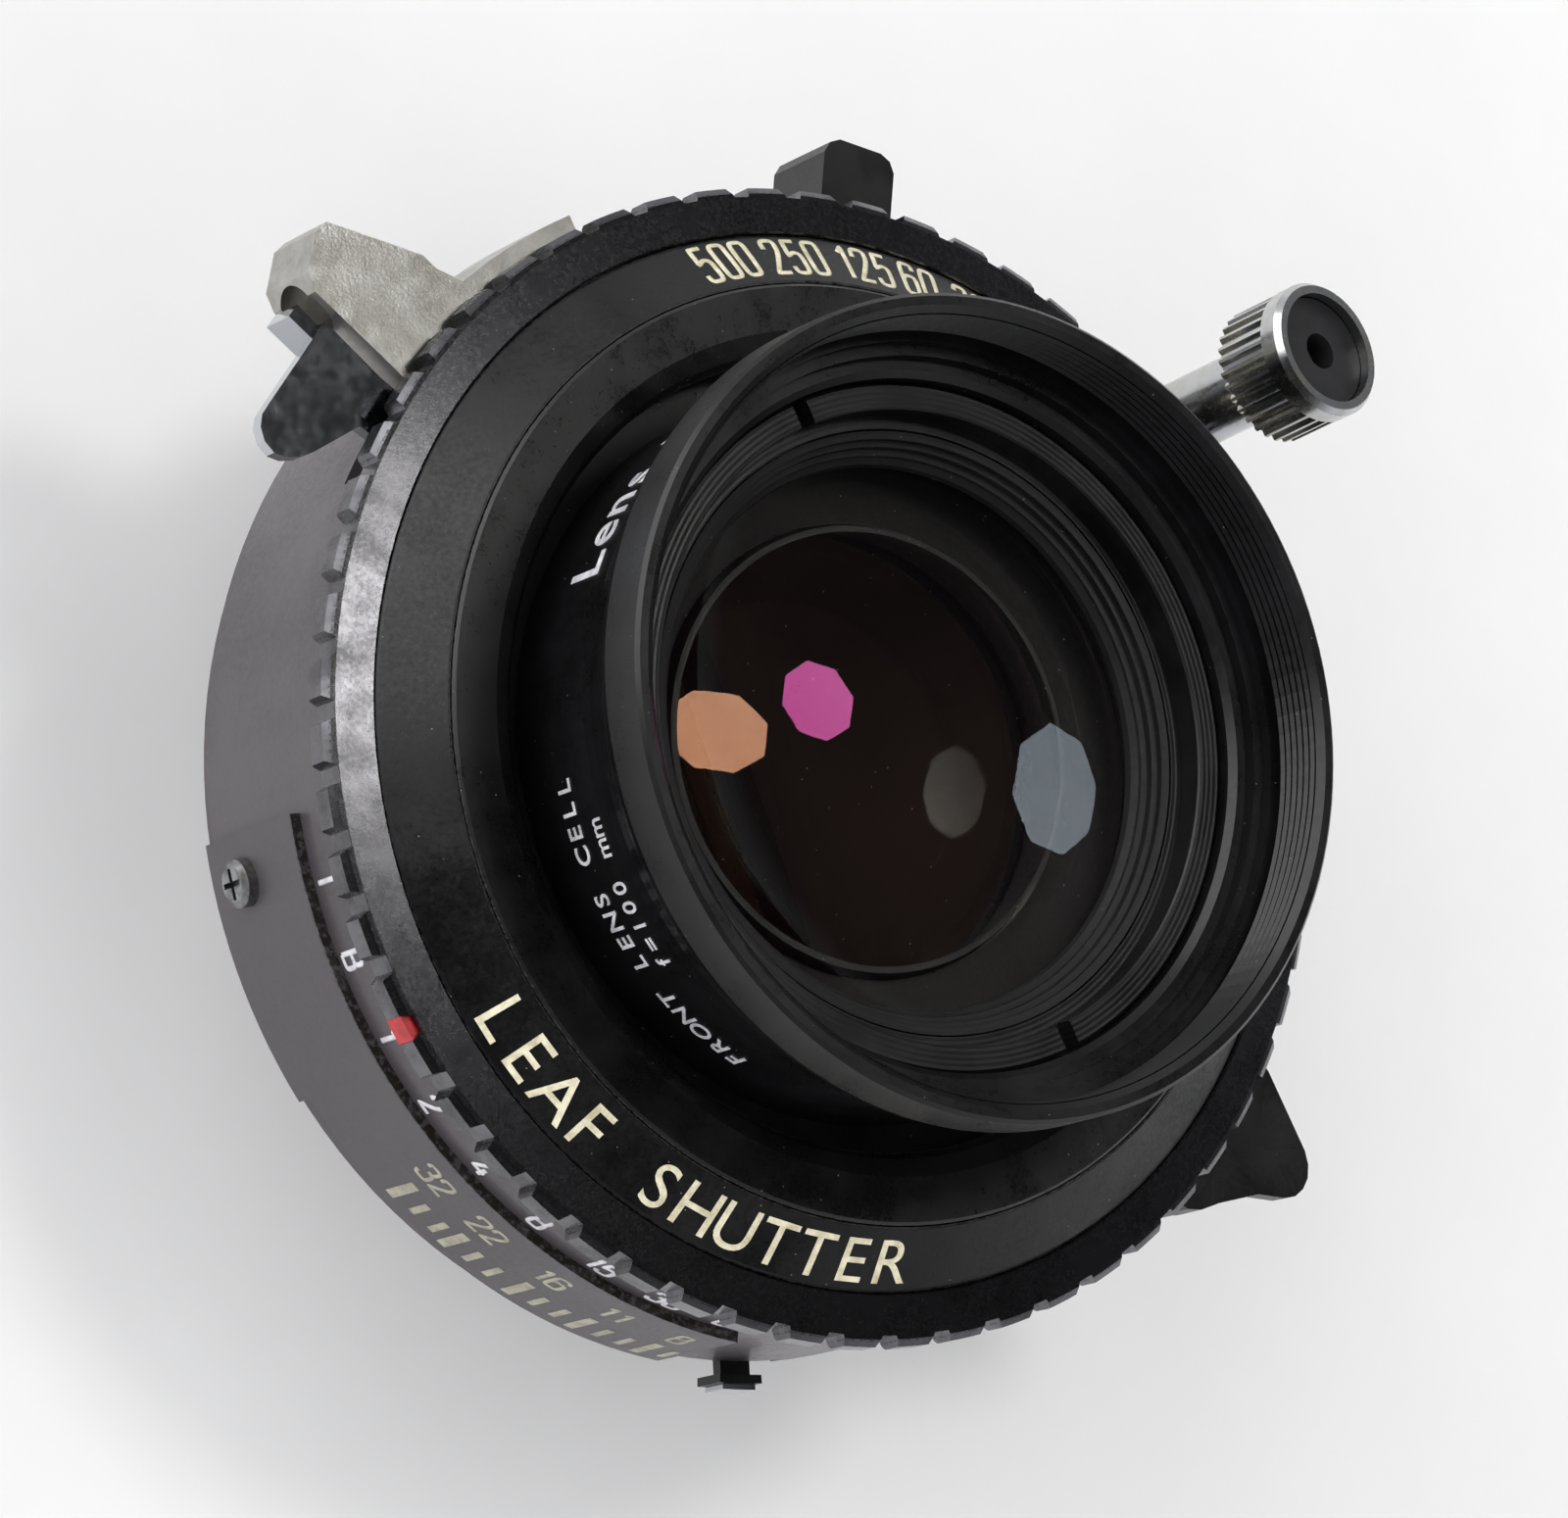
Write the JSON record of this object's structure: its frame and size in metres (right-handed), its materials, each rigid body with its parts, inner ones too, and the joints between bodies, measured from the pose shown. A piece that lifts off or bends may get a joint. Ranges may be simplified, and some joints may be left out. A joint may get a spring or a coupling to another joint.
{
  "type": "lens in leaf shutter",
  "caption": "Photographic lens in a manual leaf shutter for a lens board: speed ring, aperture, cocking, preview and release levers, cable release and flash sockets.",
  "frame": {"origin": "on the optical axis at the rear mounting plane, the face that sits on the lens board", "axes": "+Z along the optical axis towards the front of the lens, +Y towards the 12 o'clock side of the shutter"},
  "size_m": [0.0746, 0.0659, 0.0427],
  "materials": {
    "case_satin": "satin purplish grey enamel",
    "brass_plate": "machined brass",
    "steel": "turned steel",
    "spring_steel": "spring steel",
    "nickel": "worn nickel plate",
    "chrome_bright": "bright chrome",
    "face_black": "satin black enamel",
    "ring_black": "worn satin black",
    "lever_black": "satin black",
    "plate_grey": "satin grey enamel",
    "barrel_black": "semi gloss black",
    "inner_black": "flat black",
    "insulator_black": "black moulding",
    "index_red": "red enamel",
    "blade_steel": "blued steel",
    "lens_glass": "coated optical glass"
  },
  "bodies": {
    "shutter_body": {"case": "case_satin", "mechanism_plate": "brass_plate", "deck_screws": "steel", "front_tube": "brass_plate", "face_plate": "face_black", "locking_ring": "face_black", "click_spring": "spring_steel", "aperture_scale_plate": "plate_grey", "plate_screw": "steel", "cable_socket": "nickel", "release_pivot": "steel", "release_spring": "spring_steel", "ring_clip": "spring_steel", "main_spring": "spring_steel", "shutter_pins": "steel", "iris_plate": "inner_black", "iris_pins": "steel", "sync_base": "case_satin", "sync_stem": "chrome_bright", "sync_collar": "chrome_bright", "sync_insulator": "insulator_black", "sync_contact": "brass_plate", "front_barrel": "barrel_black", "front_retainer": "barrel_black", "front_baffle": "inner_black", "front_glass_a": "lens_glass", "front_glass_b": "lens_glass", "front_spacer": "inner_black", "front_glass_c": "lens_glass", "rear_barrel": "barrel_black", "rear_retainer": "barrel_black", "rear_glass_a": "lens_glass", "rear_spacer": "inner_black", "rear_glass_b": "lens_glass", "rear_glass_c": "lens_glass"},
    "speed_setting": {"speed_ring": "ring_black", "side_index": "index_red", "speed_cam": "brass_plate"},
    "release": {"release_lever": "chrome_bright"},
    "cocking": {"cocking_lever": "lever_black"},
    "preview": {"preview_lever": "lever_black"},
    "blade_drive": {"blade_ring": "steel"},
    "aperture_setting": {"aperture_lever": "lever_black", "lever_tip": "chrome_bright"},
    "shutter_leaf_1": {"shutter_blade_1": "blade_steel"},
    "shutter_leaf_2": {"shutter_blade_2": "blade_steel"},
    "shutter_leaf_3": {"shutter_blade_3": "blade_steel"},
    "shutter_leaf_4": {"shutter_blade_4": "blade_steel"},
    "shutter_leaf_5": {"shutter_blade_5": "blade_steel"},
    "iris_leaf_1": {"iris_blade_1": "blade_steel"},
    "iris_leaf_2": {"iris_blade_2": "blade_steel"},
    "iris_leaf_3": {"iris_blade_3": "blade_steel"},
    "iris_leaf_4": {"iris_blade_4": "blade_steel"},
    "iris_leaf_5": {"iris_blade_5": "blade_steel"}
  },
  "joints": [
    {"name": "speed_turn", "type": "hinge", "parent": "shutter_body", "child": "speed_setting", "pos_m": [0, 0, 0.0148], "axis": [0, 0, 1], "range_deg": [-16, 72]},
    {"name": "release_press", "type": "hinge", "parent": "shutter_body", "child": "release", "pos_m": [-0.02496, 0.00351, 0.0125], "axis": [0, 0, 1], "range_deg": [0, 12], "stiffness_Nm_per_rad": 0.01, "springref_deg": -11.46},
    {"name": "cocking_swing", "type": "hinge", "parent": "shutter_body", "child": "cocking", "pos_m": [0, 0, 0.0098], "axis": [0, 0, 1], "range_deg": [0, 45], "stiffness_Nm_per_rad": 0.01, "springref_deg": -17.19},
    {"name": "preview_swing", "type": "hinge", "parent": "shutter_body", "child": "preview", "pos_m": [0, 0, 0.0084], "axis": [0, 0, 1], "range_deg": [0, 18]},
    {"name": "blade_ring_turn", "type": "hinge", "parent": "shutter_body", "child": "blade_drive", "pos_m": [0, 0, 0.0062], "axis": [0, 0, 1], "range_deg": [-5.37, 0.01]},
    {"name": "aperture_turn", "type": "hinge", "parent": "shutter_body", "child": "aperture_setting", "pos_m": [0, 0, 0.0022], "axis": [0, 0, 1], "range_deg": [-39, 0]},
    {"name": "shutter_leaf_1_swing", "type": "hinge", "parent": "shutter_body", "child": "shutter_leaf_1", "pos_m": [0.0195, 0, 0.005], "axis": [0, 0, 1], "range_deg": [-40.01, 0.01]},
    {"name": "shutter_leaf_2_swing", "type": "hinge", "parent": "shutter_body", "child": "shutter_leaf_2", "pos_m": [0.00603, 0.01855, 0.005], "axis": [0, 0, 1], "range_deg": [-40.01, 0.01]},
    {"name": "shutter_leaf_3_swing", "type": "hinge", "parent": "shutter_body", "child": "shutter_leaf_3", "pos_m": [-0.01578, 0.01146, 0.005], "axis": [0, 0, 1], "range_deg": [-40.01, 0.01]},
    {"name": "shutter_leaf_4_swing", "type": "hinge", "parent": "shutter_body", "child": "shutter_leaf_4", "pos_m": [-0.01578, -0.01146, 0.005], "axis": [0, 0, 1], "range_deg": [-40.01, 0.01]},
    {"name": "shutter_leaf_5_swing", "type": "hinge", "parent": "shutter_body", "child": "shutter_leaf_5", "pos_m": [0.00603, -0.01855, 0.005], "axis": [0, 0, 1], "range_deg": [-40.01, 0.01]},
    {"name": "iris_leaf_1_swing", "type": "hinge", "parent": "shutter_body", "child": "iris_leaf_1", "pos_m": [0.01335, 0.0097, 0.003], "axis": [0, 0, 1], "range_deg": [-0.01, 30.01]},
    {"name": "iris_leaf_2_swing", "type": "hinge", "parent": "shutter_body", "child": "iris_leaf_2", "pos_m": [-0.0051, 0.01569, 0.003], "axis": [0, 0, 1], "range_deg": [-0.01, 30.01]},
    {"name": "iris_leaf_3_swing", "type": "hinge", "parent": "shutter_body", "child": "iris_leaf_3", "pos_m": [-0.0165, 0, 0.003], "axis": [0, 0, 1], "range_deg": [-0.01, 30.01]},
    {"name": "iris_leaf_4_swing", "type": "hinge", "parent": "shutter_body", "child": "iris_leaf_4", "pos_m": [-0.0051, -0.01569, 0.003], "axis": [0, 0, 1], "range_deg": [-0.01, 30.01]},
    {"name": "iris_leaf_5_swing", "type": "hinge", "parent": "shutter_body", "child": "iris_leaf_5", "pos_m": [0.01335, -0.0097, 0.003], "axis": [0, 0, 1], "range_deg": [-0.01, 30.01]}
  ],
  "couplings": [
    {"joint": "blade_ring_turn", "follows": "preview_swing", "ratio": -0.298},
    {"joint": "shutter_leaf_1_swing", "follows": "preview_swing", "ratio": -2.2222},
    {"joint": "shutter_leaf_2_swing", "follows": "preview_swing", "ratio": -2.2222},
    {"joint": "shutter_leaf_3_swing", "follows": "preview_swing", "ratio": -2.2222},
    {"joint": "shutter_leaf_4_swing", "follows": "preview_swing", "ratio": -2.2222},
    {"joint": "shutter_leaf_5_swing", "follows": "preview_swing", "ratio": -2.2222},
    {"joint": "iris_leaf_1_swing", "follows": "aperture_turn", "ratio": -0.76923},
    {"joint": "iris_leaf_2_swing", "follows": "aperture_turn", "ratio": -0.76923},
    {"joint": "iris_leaf_3_swing", "follows": "aperture_turn", "ratio": -0.76923},
    {"joint": "iris_leaf_4_swing", "follows": "aperture_turn", "ratio": -0.76923},
    {"joint": "iris_leaf_5_swing", "follows": "aperture_turn", "ratio": -0.76923}
  ]
}
